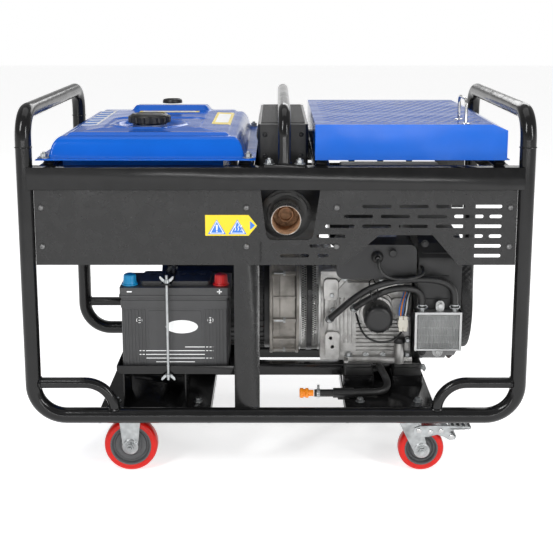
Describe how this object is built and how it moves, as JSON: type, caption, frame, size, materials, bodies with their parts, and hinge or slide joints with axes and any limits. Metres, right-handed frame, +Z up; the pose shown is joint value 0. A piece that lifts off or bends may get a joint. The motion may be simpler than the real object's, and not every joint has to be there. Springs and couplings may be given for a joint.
{
  "type": "engine driven welder",
  "caption": "Open-frame engine driven welding generator on casters, with tube frame, V-twin engine, alternator, battery, fuel tank and control panel.",
  "frame": {"origin": "on the ground under the middle of the frame", "axes": "+X towards the engine's air intake end, -Y towards the exhaust and battery side, +Z up"},
  "size_m": [1.022, 0.632, 0.785],
  "materials": {
    "frame_black": "gloss powder coat",
    "panel_black": "satin powder coat",
    "bolt_dark": "zinc",
    "rubber_black": "matte",
    "tank_blue": "gloss",
    "plastic_black": "satin",
    "zinc": "zinc plated",
    "muffler_steel": "heat resistant black, rusty mouth",
    "battery_grey": "moulded",
    "cap_blue": "moulded",
    "cap_red": "moulded",
    "cast_aluminium": "as cast",
    "mesh_steel": "expanded mesh",
    "housing_black": "satin",
    "core_steel": "laminated",
    "tyre_red": "polyurethane"
  },
  "bodies": {
    "chassis": {"air_cleaner": "plastic_black", "alternator_bell": "cast_aluminium", "alternator_housing": "housing_black", "alternator_mesh_guard": "mesh_steel", "base_members": "frame_black", "battery_case": "battery_grey", "battery_hold_down": "zinc", "battery_lid": "plastic_black", "battery_tray": "panel_black", "caster_mounts": "zinc", "control_box": "panel_black", "corner_braces": "frame_black", "cover_handle": "zinc", "crankcase": "cast_aluminium", "cylinders": "cast_aluminium", "drain_hose": "rubber_black", "engine_cover": "tank_blue", "engine_mounts": "housing_black", "engine_shrouds": "plastic_black", "exhaust_outlet": "muffler_steel", "frame_bolts": "bolt_dark", "frame_tubes": "frame_black", "front_panel": "panel_black", "fuel_gauge": "plastic_black", "fuel_tank_bottom": "tank_blue", "fuel_tank_top": "tank_blue", "ignition_wiring": "rubber_black", "lifting_bar": "frame_black", "mid_posts": "frame_black", "muffler": "muffler_steel", "muffler_guard": "panel_black", "negative_terminal_cap": "cap_blue", "oil_cooler": "cast_aluminium", "oil_filter": "housing_black", "oil_hoses": "rubber_black", "panel_sockets": "plastic_black", "positive_terminal_cap": "cap_red", "rear_panel": "panel_black", "rubber_washers": "rubber_black", "starter_motor": "housing_black", "stator_core": "core_steel", "top_frame": "frame_black"},
    "fuel_cap": {"fuel_cap": "plastic_black"},
    "fuel_tap_lever": {"fuel_tap_lever": "zinc"},
    "rotating_group": {"crankshaft": "core_steel", "rotor": "core_steel", "flywheel_fan": "cast_aluminium", "rotating_screen": "plastic_black"},
    "dipstick": {"dipstick": "plastic_black"},
    "key_switch": {"key_switch": "plastic_black"},
    "current_dial": {"current_dial": "plastic_black"},
    "main_breaker": {"main_breaker": "plastic_black"},
    "front_left_wheel": {"front_left_wheel": "tyre_red"},
    "rear_left_wheel": {"rear_left_wheel": "tyre_red"},
    "front_right_fork": {"front_right_fork": "zinc"},
    "rear_right_fork": {"rear_right_fork": "zinc"},
    "front_right_wheel": {"front_right_wheel": "tyre_red"},
    "rear_right_wheel": {"rear_right_wheel": "tyre_red"},
    "front_right_brake": {"front_right_brake": "zinc"},
    "rear_right_brake": {"rear_right_brake": "zinc"}
  },
  "joints": [
    {"name": "engine_spin", "type": "hinge", "parent": "chassis", "child": "rotating_group", "pos_m": [0.1, 0, 0.312], "axis": [1, 0, 0], "continuous": true},
    {"name": "fuel_cap_turn", "type": "hinge", "parent": "chassis", "child": "fuel_cap", "pos_m": [-0.27, -0.1, 0.726], "axis": [0, 0, 1], "range_deg": [0, 90]},
    {"name": "fuel_tap_turn", "type": "hinge", "parent": "chassis", "child": "fuel_tap_lever", "pos_m": [-0.13, -0.226, 0.58], "axis": [0, 1, 0], "range_deg": [0, 90]},
    {"name": "dipstick_pull", "type": "slide", "parent": "chassis", "child": "dipstick", "axis": [0, 0, 1], "range_m": [0, 0.05]},
    {"name": "key_turn", "type": "hinge", "parent": "chassis", "child": "key_switch", "pos_m": [-0.3, 0.29, 0.543], "axis": [0, 1, 0], "range_deg": [0, 90]},
    {"name": "current_dial_turn", "type": "hinge", "parent": "chassis", "child": "current_dial", "pos_m": [-0.17, 0.29, 0.535], "axis": [0, 1, 0], "range_deg": [-135, 135]},
    {"name": "main_breaker_rock", "type": "hinge", "parent": "chassis", "child": "main_breaker", "pos_m": [-0.235, 0.2853, 0.54], "axis": [1, 0, 0], "range_deg": [-12, 12]},
    {"name": "front_left_wheel_spin", "type": "hinge", "parent": "chassis", "child": "front_left_wheel", "pos_m": [-0.304, -0.256, 0.056], "axis": [0, 1, 0], "continuous": true},
    {"name": "front_right_swivel", "type": "hinge", "parent": "chassis", "child": "front_right_fork", "pos_m": [0.275, -0.256, 0.11], "axis": [0, 0, 1], "continuous": true},
    {"name": "front_right_wheel_spin", "type": "hinge", "parent": "front_right_fork", "child": "front_right_wheel", "pos_m": [0.305, -0.256, 0.048], "axis": [0, 1, 0], "continuous": true},
    {"name": "front_right_brake_press", "type": "hinge", "parent": "front_right_fork", "child": "front_right_brake", "pos_m": [0.298, -0.256, 0.093], "axis": [0, 1, 0], "range_deg": [0, 12]},
    {"name": "rear_left_wheel_spin", "type": "hinge", "parent": "chassis", "child": "rear_left_wheel", "pos_m": [-0.304, 0.256, 0.056], "axis": [0, 1, 0], "continuous": true},
    {"name": "rear_right_swivel", "type": "hinge", "parent": "chassis", "child": "rear_right_fork", "pos_m": [0.275, 0.256, 0.11], "axis": [0, 0, 1], "continuous": true},
    {"name": "rear_right_wheel_spin", "type": "hinge", "parent": "rear_right_fork", "child": "rear_right_wheel", "pos_m": [0.305, 0.256, 0.048], "axis": [0, 1, 0], "continuous": true},
    {"name": "rear_right_brake_press", "type": "hinge", "parent": "rear_right_fork", "child": "rear_right_brake", "pos_m": [0.298, 0.256, 0.093], "axis": [0, 1, 0], "range_deg": [0, 12]}
  ]
}
